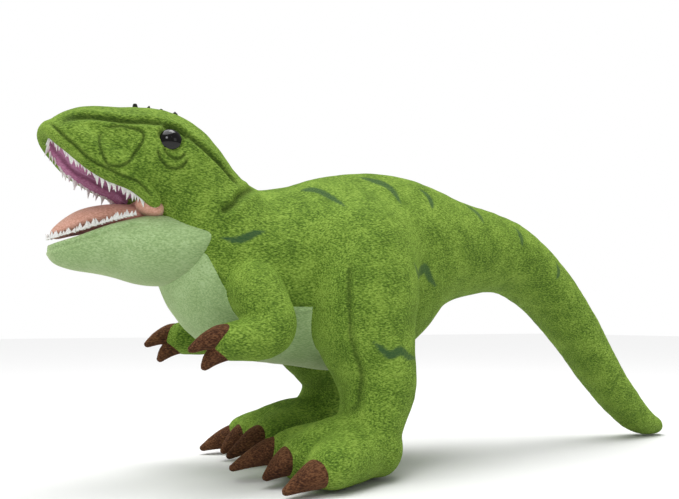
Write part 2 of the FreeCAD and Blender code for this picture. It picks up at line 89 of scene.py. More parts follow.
def softbox(name, place, aim, size, power):
    """A square studio light, aimed at a point."""
    lamp = bpy.data.objects.new(name, bpy.data.lights.new(name, "AREA"))
    lamp.data.size = size
    lamp.data.energy = power
    lamp.location = place
    lamp.rotation_euler = (Vector(aim) - Vector(place)).to_track_quat("-Z", "Y").to_euler()
    bpy.context.scene.collection.objects.link(lamp)


softbox("overhead_softbox", (0.05, 0.05, 1.1), (0, 0, 0.1), 0.45, 3)
softbox("front_softbox", (-1.1, -0.9, 0.9), (-0.05, 0, 0.1), 0.4, 4)
softbox("side_softbox", (0.5, -1.3, 0.6), (0, 0, 0.1), 0.6, 1)
sky = bpy.data.objects.new("broad_light", bpy.data.lights.new("broad_light", "SUN"))
sky.data.energy = 2.35
sky.data.angle = math.radians(60)
sky.rotation_euler = (math.radians(-4), math.radians(-10), 0)
bpy.context.scene.collection.objects.link(sky)

floor = bpy.data.meshes.new("studio_floor")
floor.from_pydata([(-4, -4, -0.0008), (4, -4, -0.0008), (4, 4, -0.0008), (-4, 4, -0.0008)], [],
                  [(0, 1, 2, 3)])
floor = bpy.data.objects.new("studio_floor", floor)
bpy.context.scene.collection.objects.link(floor)
floor_paint = bpy.data.materials.new("floor_paint")
floor_paint.use_nodes = True
floor_paint.node_tree.nodes["Principled BSDF"].inputs["Base Color"].default_value = (0.93, 0.93, 0.93, 1)
floor_paint.node_tree.nodes["Principled BSDF"].inputs["Roughness"].default_value = 0.9
floor.data.materials.append(floor_paint)

# ---------------------------------------------------------------- stuffed form
# The toy is sewn from flat panels and stuffed until it is round. Its form is built here as one field of
# rounded volumes, from which every cover is cut along its seams.
PITCH = 1.3
FIELD_LOW = np.array([-262.0, -94.0, -8.0])
FIELD_HIGH = np.array([262.0, 94.0, 232.0])
FIELD_SHAPE = tuple(np.ceil((FIELD_HIGH - FIELD_LOW) / PITCH).astype(int))
FAR = 40.0


def new_field():
    return np.full(FIELD_SHAPE, FAR, np.float32)


def window(low, high, margin):
    """The index ranges of the part of the field round a box, and the coordinates in it."""
    first = np.clip(((np.array(low) - margin - FIELD_LOW) / PITCH).astype(int), 0, FIELD_SHAPE)
    last = np.clip(((np.array(high) + margin - FIELD_LOW) / PITCH).astype(int) + 2, 0, FIELD_SHAPE)
    at = tuple(slice(a, b) for a, b in zip(first, last))
    axes = [FIELD_LOW[i] + PITCH * np.arange(first[i], last[i], dtype=np.float32) for i in range(3)]
    return at, np.meshgrid(*axes, indexing="ij", sparse=True)


def soft_min(a, b, radius):
    """The union of two volumes with a rounded inner corner."""
    if radius <= 0:
        return np.minimum(a, b)
    overlap = np.maximum(radius - np.abs(a - b), 0)
    return np.minimum(a, b) - overlap * overlap / (4 * radius)


def soft_max(a, b, radius):
    return -soft_min(-a, -b, radius)


def capsule(xyz, start, end, first, last, widen):
    """Distance to a tapered capsule whose width is widen times its height."""
    x, y, z = xyz
    y = y / widen
    a = np.array([start[0], start[1] / widen, start[2]], np.float32)
    b = np.array([end[0], end[1] / widen, end[2]], np.float32)
    run = b - a
    length = float(run @ run) + 1e-6
    t = np.clip(((x - a[0]) * run[0] + (y - a[1]) * run[1] + (z - a[2]) * run[2]) / length, 0, 1)
    off = (x - a[0] - t * run[0]) ** 2 + (y - a[1] - t * run[1]) ** 2 + (z - a[2] - t * run[2]) ** 2
    return (np.sqrt(off) - (first + t * (last - first))) * min(1.0, widen)


def add_chain(field, stations, blend=3.0, steps=5):
    """Adds a smooth limb through stations of x, y, z, radius and width ratio."""
    stations = np.array(stations, float)
    count = len(stations)
    fine = []
    for i in range(count - 1):
        p0, p1, p2, p3 = (stations[max(0, min(count - 1, i + k))] for k in (-1, 0, 1, 2))
        for t in np.arange(0, 1, 1 / steps):
            fine.append(0.5 * (2 * p1 + (p2 - p0) * t + (2 * p0 - 5 * p1 + 4 * p2 - p3) * t * t
                               + (3 * p1 - p0 - 3 * p2 + p3) * t ** 3))
    fine.append(stations[-1])
    for a, b in zip(fine, fine[1:]):
        reach = max(a[3], b[3]) * max(1, a[4], b[4])
        at, xyz = window(np.minimum(a[:3], b[:3]) - reach, np.maximum(a[:3], b[:3]) + reach, 22)
        field[at] = soft_min(field[at], capsule(xyz, a[:3], b[:3], a[3], b[3], (a[4] + b[4]) / 2), blend)


def mirrored(stations):
    return [(x, -y, z, r, w) for x, y, z, r, w in stations]


def polyline_height(x, points):
    """Height of a line in the middle plane, from its points."""
    xs, zs = zip(*sorted(points))
    return np.interp(x, xs, zs).astype(np.float32)


at_all, (X, Y, Z) = window(FIELD_LOW, FIELD_HIGH, 0)

# Torso, neck and tail: stations along the body's axis.
TRUNK = [
    (-157, 0, 148, 36.0, 0.93),
    (-143, 0, 136, 43.0, 0.90),
    (-128, 0, 123, 50.0, 0.84),
    (-92, 0, 123, 56.0, 0.83),
    (-52, 0, 127, 63.0, 0.75),
    (-20, 0, 141, 50.0, 0.86),
    (20, 0, 144.5, 36.0, 0.97),
    (76, 0, 142, 26.2, 1.0),
    (116, 0, 121, 21.6, 1.0),
    (150.5, 0, 88.5, 18.8, 1.0),
    (179, 0, 55.5, 16.2, 1.0),
    (203, 0, 31, 14.0, 1.0),
    (226, 0, 13.5, 11.0, 1.0),
    (246, 0, 7, 6.4, 1.0),
]
trunk = new_field()
add_chain(trunk, TRUNK, blend=2.0, steps=6)

# Skull and muzzle.
HEAD = [
    (-160, 0, 158, 30.0, 1.08),
    (-172, 0, 175, 31.5, 1.02),
    (-185, 0, 185, 31.5, 0.98),
    (-205, 0, 189.5, 26.0, 0.92),
    (-222, 0, 191.8, 22.4, 0.9),
    (-231.5, 0, 194.5, 16.6, 1.05),
]
skull = new_field()
add_chain(skull, HEAD, blend=2.0, steps=4)
UPPER_LIP = [(-262, 212), (-250, 199), (-243, 191.5), (-236, 184.5), (-228, 178), (-219, 173.2),
             (-212, 170.4), (-205, 167.8), (-199, 162.5), (-193, 156), (-180, 152), (-130, 150)]
lip_height = polyline_height(X, UPPER_LIP)
# The muzzle is broad along the lips, and each lip is a rolled edge.
JOWL = [
    (-239.5, 0, 199.5, 7.0, 2.1), (-235, 0, 194, 9.0, 2.1), (-228, 0, 188, 10.0, 2.05),
    (-219, 0, 183.5, 10.5, 2.05), (-211, 0, 180.5, 11.0, 2.05), (-202, 0, 178, 12.0, 2.05),
]
LIP_ROLL = [
    (-246.5, 0, 200, 3.0, 1), (-246.5, 8, 198.5, 3.0, 1), (-243.5, 14.5, 194.4, 3.0, 1),
    (-236.5, 18.6, 187.2, 3.0, 1), (-228.5, 20.4, 180.6, 3.0, 1), (-219.5, 21.4, 175.8, 3.0, 1),
    (-212.5, 22.2, 173.2, 3.0, 1), (-205, 23.4, 170.4, 2.9, 1), (-199, 25, 165.4, 2.7, 1),
    (-194, 26.5, 160, 2.4, 1),
]
add_chain(skull, JOWL, blend=4.0, steps=4)
skull = soft_max(skull, (lip_height + 1.2 - Z) * 0.85, 3.0)
# The roof of the mouth is hollowed between the lips.
roof_hollow = np.sqrt(((X + 216) / 32) ** 2 + (Y / 16) ** 2 + ((Z - lip_height) / 6.5) ** 2) - 1
skull = soft_max(skull, -roof_hollow * 6.5, 2.0)
for roll in (LIP_ROLL, mirrored(LIP_ROLL)):
    add_chain(skull, roll, blend=3.5, steps=4)
body = soft_min(trunk, skull, 9.0)
fields = {"body": body}

# Legs: a broad thigh, a shank that leans forward below a bulging hock, and a long foot with three toes.
def leg_stations(side):
    """The right leg is posed further back than the left one."""
    back = 1.0 if side > 0 else 0.0
    thigh = [(-65 + 2 * back, 40, 128, 32.0, 0.74), (-68 + 4 * back, 42, 111, 33.5, 0.76),
             (-69 + 9 * back, 44, 91, 30.5, 0.80), (-65 + 18 * back, 46.5, 72, 25.0, 0.86),
             (-62 + 25 * back, 48.5, 55, 22.0, 0.92), (-66 + 26 * back, 50, 40, 18.5, 1.0),
             (-72 + 24 * back, 51, 26, 18.0, 1.1)]
    heel = [(-76 + 24 * back, 51, 22, 18.0, 1.12), (-68 + 22 * back, 52, 17, 16.5, 1.18)]
    shift = 15 * back
    toes = [
        [(-80 + shift, 50, 20, 17.0, 1.1), (-98 + shift, 38, 17.5, 15.0, 1.0),
         (-115 + shift, 29, 15.5, 12.0, 1.0)],
        [(-80 + shift, 51, 21, 18.0, 1.1), (-99 + shift, 51, 18.5, 16.0, 1.0),
         (-116 + shift, 51, 15.0, 12.6, 1.0)],
        [(-79 + shift, 54, 19, 17.5, 1.1), (-96 + shift, 66, 16.0, 15.2, 1.0),
         (-112 + shift, 75, 13.0, 12.2, 1.0)],
    ]
    chains = [thigh, heel, *toes]
    return [c if side > 0 else mirrored(c) for c in chains]


def arm_stations(side):
    back = 7.0 if side > 0 else 0.0
    arm = [(-140 + back, 38, 114, 15.5, 0.85), (-136 + back, 44, 102, 15.0, 0.9),
           (-134 + back, 48, 91, 14.0, 0.95),
           (-145 + back, 50, 85, 12.0, 0.95), (-162 + back, 50, 83, 9.6, 1.0)]
    return arm if side > 0 else mirrored(arm)


for side, hand in ((-1, "left"), (1, "right")):
    leg = new_field()
    for chain in leg_stations(side):
        add_chain(leg, chain, blend=4.0, steps=4)
    leg = soft_max(leg, (0.3 - Z) * 1.0, 4.0)
    arm = new_field()
    add_chain(arm, arm_stations(side), blend=2.0, steps=5)
    fields[f"leg_{hand}"] = leg
    fields[f"arm_{hand}"] = arm

whole = fields["body"]
for hand in ("left", "right"):
    # The thigh runs smoothly into the flank on top, and meets the belly in a crease.
    leg = fields[f"leg_{hand}"]
    softness = 3 + 20 * np.clip((Z - 118) / 40, 0, 1)
    overlap = np.maximum(softness - np.abs(whole - leg), 0)
    whole = np.minimum(whole, leg) - overlap * overlap / (4 * softness)
    whole = soft_min(whole, fields[f"arm_{hand}"], 3.0)


def surface_of(field, level=0.0):
    """Points and triangles of a field's surface, faces outward."""
    grid = openvdb.FloatGrid()
    grid.background = FAR
    grid.copyFromArray(np.ascontiguousarray(field))
    points, quads = grid.convertToQuads(level)
    quads = np.asarray(quads)[:, ::-1]
    faces = np.concatenate([quads[:, [0, 1, 2]], quads[:, [0, 2, 3]]])
    return np.asarray(points, float) * PITCH + FIELD_LOW, faces


def sample(field, points):
    """A field's value at points, between its grid's corners."""
    at = (points[:, :3] - FIELD_LOW) / PITCH
    at = np.clip(at, 0, np.array(FIELD_SHAPE) - 1.001)
    low = at.astype(int)
    part = at - low
    value = 0
    for corner in np.ndindex(2, 2, 2):
        weight = np.prod(np.where(corner, part, 1 - part), axis=1)
        value = value + weight * field[tuple((low + corner).T)]
    return value


def normals_of(points, faces):
    """Unit normals at the points; rows past the third column are ignored."""
    a, b, c = (points[faces[:, k], :3] for k in range(3))
    face_normals = np.cross(b - a, c - a)
    total = np.zeros((len(points), 3))
    for k in range(3):
        np.add.at(total, faces[:, k], face_normals)
    return total / (np.linalg.norm(total, axis=1, keepdims=True) + 1e-12)


points, faces = surface_of(whole)
if np.mean(np.sum(normals_of(points, faces) * (points - points.mean(0)), axis=1)) < 0:
    faces = faces[:, ::-1]

# The stuffing: a coarse copy of the sewn covers is blown up by pressure, held along its seams, and the fine
# covers take over how far each place rose or sank, so that the fabric swells between its seams.
HOLD = 4.0
SWELL_LIMIT = 3.5
PALE_ZONE = [(-195, 158), (-166, 131), (-157, 114), (-152, 103), (-95, 103), (-24, 92), (-24, 40),
             (-200, 40), (-230, 100)]


def zone_distance(points, outline):
    """Signed distance in side view from a polygon of x and z, negative inside."""
    x, z = points[:, 0], points[:, 2]
    near = np.full(len(points), 1e9)
    inside = np.zeros(len(points), bool)
    for (x0, z0), (x1, z1) in zip(outline, outline[1:] + outline[:1]):
        run = np.array([x1 - x0, z1 - z0])
        t = np.clip(((x - x0) * run[0] + (z - z0) * run[1]) / (run @ run), 0, 1)
        near = np.minimum(near, np.hypot(x - x0 - t * run[0], z - z0 - t * run[1]))
        crosses = (z0 > z) != (z1 > z)
        side = x < (x1 - x0) * (z - z0) / (z1 - z0 + 1e-9) + x0
        inside ^= crosses & side
    return np.where(inside, -near, near)


def line_distance(points, line):
    """Distance in side view from a line of x and z, and the share of its length where it is nearest."""
    x, z = points[:, 0], points[:, 2]
    near, share = np.full(len(points), 1e9), np.zeros(len(points))
    lengths = [math.dist(a, b) for a, b in zip(line, line[1:])]
    done = 0
    for (x0, z0), (x1, z1), length in zip(line, line[1:], lengths):
        t = np.clip(((x - x0) * (x1 - x0) + (z - z0) * (z1 - z0)) / length ** 2, 0, 1)
        away = np.hypot(x - x0 - t * (x1 - x0), z - z0 - t * (z1 - z0))
        share = np.where(away < near, (done + t * length) / sum(lengths), share)
        near = np.minimum(near, away)
        done += length
    return near, share


def smooth_line(line, steps=5):
    """A curve through the line's points."""
    line = np.array(line, float)
    ends = [line[0], *line, line[-1]]
    curve = []
    for p0, p1, p2, p3 in zip(ends, ends[1:], ends[2:], ends[3:]):
        for t in np.arange(0, 1, 1 / steps):
            curve.append(0.5 * (2 * p1 + (p2 - p0) * t + (2 * p0 - 5 * p1 + 4 * p2 - p3) * t * t
                                + (3 * p1 - p0 - 3 * p2 + p3) * t ** 3))
    return [tuple(p) for p in curve] + [tuple(line[-1])]


def near_seam(points):
    """How firmly a seam holds the fabric at each point, from 0 to 1."""
    seams = [np.abs(zone_distance(points, PALE_ZONE))]
    for hand in ("left", "right"):
        seams.append(np.abs(sample(fields[f"leg_{hand}"], points) - sample(fields["body"], points)))
        seams.append(np.abs(sample(fields[f"arm_{hand}"], points) - sample(fields["body"], points)))
    held = np.clip(1.5 - np.min(seams, axis=0) / HOLD, 0, 1)
    mouth = (points[:, 0] < -190) & (points[:, 2] < 176)
    return np.where(mouth | (points[:, 2] < 6), 1.0, held)


def swell(points, faces):
    """Moves the points as the pressure moves a coarse cloth copy of them."""
    mesh = bpy.data.meshes.new("cloth_copy")
    mesh.from_pydata((points * MM).tolist(), [], faces.tolist())
    cloth = bpy.data.objects.new("cloth_copy", mesh)
    bpy.context.scene.collection.objects.link(cloth)
    mesh.remesh_voxel_size = 5 * MM
    bpy.context.view_layer.objects.active = cloth
    bpy.ops.object.voxel_remesh()
    rest = np.array([v.co for v in cloth.data.vertices]) / MM
    held = cloth.vertex_groups.new(name="seams")
    for number, firm in enumerate(near_seam(rest)):
        held.add([number], float(firm), "REPLACE")
    fabric = cloth.modifiers.new("fabric", "CLOTH")
    fabric.settings.use_pressure = True
    fabric.settings.uniform_pressure_force = 4
    fabric.settings.effector_weights.gravity = 0
    fabric.settings.vertex_group_mass = "seams"
    fabric.settings.tension_stiffness = fabric.settings.compression_stiffness = 12
    fabric.point_cache.frame_start, fabric.point_cache.frame_end = 1, 20
    for number in range(1, 21):
        bpy.context.scene.frame_set(number)
    blown = cloth.evaluated_get(bpy.context.evaluated_depsgraph_get()).to_mesh()
    moved = np.array([v.co for v in blown.vertices]) / MM - rest
    normals = np.array([v.vector for v in cloth.data.vertex_normals])
    bpy.context.scene.frame_set(1)
    bpy.data.objects.remove(cloth)
    rise = np.sum(moved * normals, axis=1)
    rise = np.clip(rise, 0, SWELL_LIMIT) - np.median(np.clip(rise, 0, SWELL_LIMIT))
    tree = KDTree(len(rest))
    for number, place in enumerate(rest):
        tree.insert(place, number)
    tree.balance()
    taken = np.empty(len(points))
    for number, place in enumerate(points):
        nearest = tree.find_n(place, 4)
        weights = [1 / (away + 0.5) ** 2 for _, _, away in nearest]
        taken[number] = sum(rise[i] * w for (_, i, _), w in zip(nearest, weights)) / sum(weights)
    return points + normals_of(points, faces) * taken[:, None]


points = swell(points, faces)

# Covers are cut apart along lines where a measure is zero; a new point keeps what its neighbours carry.
def divide(points, faces, measure):
    """The points with the cut's new ones added, then the faces where the measure is above and below zero."""
    value = measure(points)
    value = np.where(np.abs(value) < 0.12, 0.0, value)
    signs = np.sign(value)[faces]
    above = (signs >= 0).all(1) & (signs > 0).any(1)
    below = (signs <= 0).all(1)
    crossing = ~(above | below)
    extra, known, over, under = [], {}, [], []

    def between(a, b):
        key = (min(a, b), max(a, b))
        if key not in known:
            t = value[key[0]] / (value[key[0]] - value[key[1]])
            known[key] = len(points) + len(extra)
            extra.append(points[key[0]] * (1 - t) + points[key[1]] * t)
        return known[key]

    for face in faces[crossing]:
        high, low = [], []
        for a, b in zip(face, np.roll(face, -1)):
            if value[a] >= 0:
                high.append(a)
            if value[a] <= 0:
                low.append(a)
            if value[a] * value[b] < 0:
                middle = between(int(a), int(b))
                high.append(middle)
                low.append(middle)
        for ring, side in ((high, over), (low, under)):
            side += [(ring[0], ring[k], ring[k + 1]) for k in range(1, len(ring) - 1)]
    if extra:
        points = np.concatenate([points, extra])
    empty = np.empty((0, 3), int)
    return (
        points,
        np.concatenate([faces[above], np.array(over) if over else empty]).astype(int),
        np.concatenate([faces[below], np.array(under) if under else empty]).astype(int),
    )


def refine(points, faces):
    """Each triangle in four."""
    edges = np.sort(np.concatenate([faces[:, [0, 1]], faces[:, [1, 2]], faces[:, [2, 0]]]), axis=1)
    unique, which = np.unique(edges, axis=0, return_inverse=True)
    which = which.reshape(-1)
    middle = (points[unique[:, 0]] + points[unique[:, 1]]) / 2
    ab, bc, ca = (len(points) + which[k * len(faces):(k + 1) * len(faces)] for k in range(3))
    a, b, c = faces.T
    parts = [np.stack(t, axis=1) for t in ((a, ab, ca), (ab, b, bc), (ca, bc, c), (ab, bc, ca))]
    return np.concatenate([points, middle]), np.concatenate(parts)


def plane_measure(place, direction):
    """A measure that is zero on a plane and grows along its direction."""
    return lambda points: (points[:, :3] - np.array(place)) @ np.array(direction)


NECK = np.array([-155.0, 0.0, 149.0])
NECK_BACK = np.array([-math.sqrt(0.5), 0.0, math.sqrt(0.5)])
NECK_FRONT = np.array([-0.857, 0.0, 0.515])
points, head_faces, trunk_faces = divide(points, faces, plane_measure(NECK - 5.9 * NECK_BACK, NECK_BACK))
points, head_faces = refine(points, head_faces)
all_faces = np.concatenate([head_faces, trunk_faces])

# Folds, seams and lids that the maker sews or the stuffing leaves, as shallow ridges and grooves.
BROW_FOLD = smooth_line([(-244.6, 198.5), (-239.3, 202.8), (-232, 205.2), (-222, 205.4), (-208, 204.4),
                         (-194.5, 204.6), (-186, 202.8), (-176, 198.6), (-167, 192.6), (-158, 186),
                         (-149, 178), (-141.5, 171)])
LIP_SEAM = smooth_line([(-249, 202), (-243.5, 194), (-237.2, 187.9), (-229.3, 180.7), (-220.2, 176.6),
                        (-213.6, 173.6), (-205.2, 170.9), (-200.7, 167.3), (-196, 161)])
NOSE_PATCH = smooth_line([(-221, 198.3), (-217.2, 200.3), (-211.7, 200.9), (-207.3, 200.3), (-202.8, 199.2),
                          (-200.6, 197.2), (-201.2, 193.3), (-203.4, 189.3), (-205.7, 186.3),
                          (-209.1, 181.1), (-214.1, 178.5), (-219.6, 178.6), (-222, 181.6), (-223.8, 186.7),
                          (-224.3, 190.4), (-223.2, 194.8), (-221, 198.3)])
UNDER_LID = smooth_line([(-190.8, 190.5), (-188.6, 186.4), (-184.9, 184.2), (-181, 185), (-178.4, 188.2)])
EYE_BAG = smooth_line([(-194, 189.5), (-192.3, 183.2), (-187.4, 179), (-181.6, 179.6), (-177, 184.6)])
UPPER_LID = smooth_line([(-192.4, 194.5), (-191.2, 198.8), (-187.6, 202.2), (-182.6, 202.6), (-178.4, 199.6),
                         (-176.8, 195)])
NECK_SEAM = smooth_line([(-128.6, 175), (-144.5, 167.1), (-150, 161.6), (-155, 158.5), (-159.8, 156)])
KNEE_SEAM = smooth_line([(-88.5, 130), (-91.1, 112.9), (-90.4, 89.3), (-87.6, 77.5), (-82.7, 64.3),
                         (-82, 53.5), (-83.4, 44.6), (-89.6, 39)])
CHEST_SEAM = [(x, z) for x, z in PALE_ZONE[1:7]]
# Each eye sits in a shallow socket, placed as seen from the side.
EYE_CENTRE = (-185, 193.5)
SOCKET_DEPTH, SOCKET_RADIUS, SOCKET_LEAST_Y = 1.6, 6.5, 15


def groove(points, line, width, depth, least_y, lip=0.0):
    """How far the surface sinks along a line on both sides of the toy, with a raised lip beside it."""
    away, share = line_distance(points, line)
    ends = np.clip(np.minimum(share, 1 - share) * 12, 0, 1)
    aside = np.clip((np.abs(points[:, 1]) - least_y) / 3, 0, 1)
    sunk = -depth * np.exp(-(away / width) ** 2) + lip * np.exp(-((away - 2 * width) / width) ** 2)
    return sunk * ends * aside


def relief(points):
    """The sum of all folds, in millimetres along the normal."""
    total = groove(points, BROW_FOLD, 1.7, 1.7, 5, 0.7)
    total += groove(points, LIP_SEAM, 0.9, 1.2, 3, 0.35)
    total += groove(points, NOSE_PATCH, 0.8, 0.7, 8, 0.25)
    total += groove(points, UNDER_LID, 0.9, 0.9, 20, 0.5) + groove(points, EYE_BAG, 0.9, 0.9, 20, 0.4)
    total += groove(points, UPPER_LID, 1.2, 0.9, 20, 0.7)
    total += groove(points, NECK_SEAM, 2.2, 1.8, 0, 0.6)
    total += groove(points, KNEE_SEAM, 1.4, 1.1, 52, 0.5)
    limbs = np.min([sample(fields[f"{limb}_{hand}"], points)
                    for limb in ("leg", "arm") for hand in ("left", "right")], axis=0)
    total += groove(points, CHEST_SEAM, 1.1, 1.1, 0, 0.5) * np.clip(limbs / 3, 0, 1) * (points[:, 0] < -80)
    away = np.sqrt((points[:, 0] - EYE_CENTRE[0]) ** 2 + (points[:, 2] - EYE_CENTRE[1]) ** 2)
    total += -SOCKET_DEPTH * np.exp(-(away / SOCKET_RADIUS) ** 4) * (np.abs(points[:, 1]) > SOCKET_LEAST_Y)
    # Gathers and slack, broad and shallow.
    total += [0.45 * noise.noise(Vector(p) * 0.055) + 0.2 * noise.noise(Vector(p) * 0.16)
              for p in points[:, :3]]
    return total


normals = normals_of(points, all_faces)
points = points + normals * relief(points)[:, None]
normals = normals_of(points, all_faces)
points = np.hstack([points, normals])


def seam_allowance(points, faces, depth=6.0, steps=2):
    """The edge of a cut cover turned inwards, as its maker folds it, so that a bent seam shows no gap."""
    edges = np.concatenate([faces[:, [0, 1]], faces[:, [1, 2]], faces[:, [2, 0]]])
    keys = np.sort(edges, axis=1)
    _, first, counts = np.unique(keys, axis=0, return_index=True, return_counts=True)
    border = edges[first[counts == 1]]
    rim = np.unique(border)
    place = {int(v): k for k, v in enumerate(rim)}
    rows, sheets = [points], [faces]
    above = {int(v): int(v) for v in rim}
    for step in range(1, steps + 1):
        inner = points[rim].copy()
        inner[:, :3] -= points[rim, 3:6] * depth * step / steps
        below = {int(v): sum(map(len, rows)) + place[int(v)] for v in rim}
        rows.append(inner)
        quads = [(above[int(b)], above[int(a)], below[int(a)], below[int(b)]) for a, b in border]
        sheets += [np.array([q[:3] for q in quads]), np.array([(q[0], q[2], q[3]) for q in quads])]
        above = below
    return np.concatenate(rows), np.concatenate(sheets)


def outward_surface(field):
    """A closed volume's surface, with its faces turned outwards."""
    own, own_faces = surface_of(field)
    if np.mean(np.sum(normals_of(own, own_faces) * (own - own.mean(0)), axis=1)) < 0:
        own_faces = own_faces[:, ::-1]
    return own, own_faces


def hidden_part(field, inside):
    """The part of a volume's own surface that lies inside its neighbour, to close the cover there."""
    own, own_faces = outward_surface(field)
    own = np.hstack([own, normals_of(own, own_faces)])
    own, _, kept = divide(own, own_faces, lambda p: sample(inside, p) + 0.6)
    return own, kept


def joined(first, second):
    """Two lots of points and faces as one."""
    return np.concatenate([first[0], second[0]]), np.concatenate([first[1], second[1] + len(first[0])])


def make_piece(name, points, faces, attributes=None, smooth=True):
    """A mesh object from points in millimetres, with the normals that its points carry."""
    used, faces = np.unique(faces, return_inverse=True)
    faces = faces.reshape(-1, 3)
    points = points[used]
    corners = points[faces, :3]
    solid = np.linalg.norm(np.cross(corners[:, 1] - corners[:, 0], corners[:, 2] - corners[:, 0]),
                           axis=1) > 1e-7
    mesh = bpy.data.meshes.new(name)
    mesh.from_pydata((points[:, :3] * MM).tolist(), [], faces[solid].tolist())
    mesh.polygons.foreach_set("use_smooth", [smooth] * len(mesh.polygons))
    for label, measure in (attributes or {}).items():
        layer = mesh.attributes.new(label, "FLOAT", "POINT")
        layer.data.foreach_set("value", measure(points).astype(np.float32))
    mesh.update()
    if points.shape[1] > 3 and smooth:
        mesh.normals_split_custom_set_from_vertices(points[:, 3:6].tolist())
    piece = bpy.data.objects.new(name, mesh)
    bpy.context.scene.collection.objects.link(piece)
    return piece


def print_line(points, line, width, least_y=0.0):
    """How strongly dye colours a point: a line on both sides of the toy, pointed at its ends."""
    away, share = line_distance(points, line)
    half = 1.5 * width * np.sin(np.pi * np.clip(share, 0.02, 0.98)) ** 0.7
    return np.clip((half - away) / 0.9 + 0.5, 0, 1) * (np.abs(points[:, 1]) > least_y)


STRIPES = [
    ([(-159, 141.5), (-151.1, 140.4), (-145, 142.2), (-140, 144.6), (-133, 146.4)], 1.5, 20),
    ([(-99.5, 174.6), (-91.6, 175.0), (-86.6, 169.7), (-82.5, 163)], 1.7, 5),
    ([(-56, 186.6), (-49, 184), (-43.2, 181.6), (-40, 177), (-39.6, 168)], 1.8, 5),
    ([(-15.5, 180.5), (-11.6, 175), (-12.6, 167)], 1.5, 3),
    ([(28, 174.5), (34.2, 169.5), (36.6, 161.5)], 1.6, 3),
    ([(70.4, 161), (73.3, 154.6), (72.4, 147.4)], 1.4, 3),
    ([(112, 138), (113, 131), (109.5, 125)], 1.2, 3),
    ([(-43.7, 129.4), (-37.6, 122.6), (-31, 125.4), (-24.6, 127.6), (-19.1, 121.6), (-11.8, 116.8)],
     2.1, 20),
    ([(-78.5, 82.6), (-72, 77.5), (-67, 74.8), (-59.5, 77.2), (-52.6, 73.4), (-43, 72.2)], 1.8, 30),
]
STRIPES = [(smooth_line(line), width, least_y) for line, width, least_y in STRIPES]


def stripe_print(points):
    """Airbrushed stripes over the back, flanks and thighs."""
    return np.max([print_line(points, line, width, least_y) for line, width, least_y in STRIPES], axis=0)


def fold_shade(points):
    """Painted shade: darker on surfaces that face down and in the grooves of folds, seams and lids."""
    # Painted shade on surfaces that face down.
    down = np.clip(-points[:, 5] * 0.9 + 0.05, 0, 1) if points.shape[1] > 3 else 0
    # Painted shade in the grooves of folds, seams and lids.
    folds = -(groove(points, BROW_FOLD, 1.6, 0.8, 5) + groove(points, LIP_SEAM, 0.8, 0.8, 3)
              + groove(points, NECK_SEAM, 1.8, 0.6, 0) + groove(points, KNEE_SEAM, 1.2, 0.5, 52)
              + groove(points, UNDER_LID, 0.8, 0.8, 20) + groove(points, EYE_BAG, 0.8, 0.7, 20)
              + groove(points, UPPER_LID, 1.0, 0.7, 20) + groove(points, NOSE_PATCH, 0.8, 0.8, 8))
    return np.clip(down * 0.7 + 1.7 * folds, 0, 1)


def plush(name, low, middle, high, stripe=None, pile=1350, brushed=(0.6, 0.5, 0.35), bump=0.9):
    """Short plush: fine streaks of pile, broad brushed patches, a soft sheen, dyed stripes, and painted
    shade from the shade attribute.
    """
    material = bpy.data.materials.new(name)
    material.use_nodes = True
    tree = material.node_tree
    shader = tree.nodes["Principled BSDF"]

    def add(kind, **values):
        node = tree.nodes.new(kind)
        for label, value in values.items():
            if hasattr(node, label):
                setattr(node, label, value)
            else:
                node.inputs[label.replace("_", " ")].default_value = value
        return node

    link = tree.links.new
    place = add("ShaderNodeTexCoord")
    turn = add("ShaderNodeMapping")
    turn.inputs["Rotation"].default_value = brushed
    turn.inputs["Scale"].default_value = (0.4, 1.0, 1.0)
    streaks = add("ShaderNodeTexNoise", Scale=pile, Detail=2.0, Roughness=0.6)
    patches = add("ShaderNodeTexNoise", Scale=70.0, Detail=3.0, Roughness=0.55)
    link(place.outputs["Object"], turn.inputs["Vector"])
    link(turn.outputs["Vector"], streaks.inputs["Vector"])
    link(place.outputs["Object"], patches.inputs["Vector"])
    blend = add("ShaderNodeMix", data_type="FLOAT")
    blend.inputs["Factor"].default_value = 0.3
    link(streaks.outputs["Fac"], blend.inputs["A"])
    link(patches.outputs["Fac"], blend.inputs["B"])
    ramp = add("ShaderNodeValToRGB")
    ramp.color_ramp.elements[0].position, ramp.color_ramp.elements[0].color = 0.39, (*low, 1)
    ramp.color_ramp.elements[1].position, ramp.color_ramp.elements[1].color = 0.61, (*high, 1)
    ramp.color_ramp.elements.new(0.5).color = (*middle, 1)
    link(blend.outputs["Result"], ramp.inputs["Fac"])
    colour = ramp.outputs["Color"]
    # The stripe attribute mixes in the dyed stripe colour; the shade attribute mixes in a dark copy of the
    # low colour as painted shade.
    for label, tint, strength in (("stripe", stripe, 0.9), ("shade", [v * 0.4 for v in low], 0.7)):
        if tint is None:
            continue
        marks = add("ShaderNodeAttribute", attribute_name=label)
        amount = add("ShaderNodeMath", operation="MULTIPLY")
        amount.inputs[1].default_value = strength
        link(marks.outputs["Fac"], amount.inputs[0])
        over = add("ShaderNodeMix", data_type="RGBA")
        link(amount.outputs["Value"], over.inputs["Factor"])
        link(colour, over.inputs["A"])
        over.inputs["B"].default_value = (*tint, 1)
        colour = over.outputs["Result"]
    link(colour, shader.inputs["Base Color"])
    raised = add("ShaderNodeBump", Strength=bump, Distance=0.0012)
    link(streaks.outputs["Fac"], raised.inputs["Height"])
    link(raised.outputs["Normal"], shader.inputs["Normal"])
    shader.inputs["Roughness"].default_value = 0.86
    shader.inputs["Specular IOR Level"].default_value = 0.18
    shader.inputs["Sheen Weight"].default_value = 0.35
    shader.inputs["Sheen Roughness"].default_value = 0.45
    shader.inputs["Sheen Tint"].default_value = (*[min(1, v * 2.2) for v in high], 1)
    return material
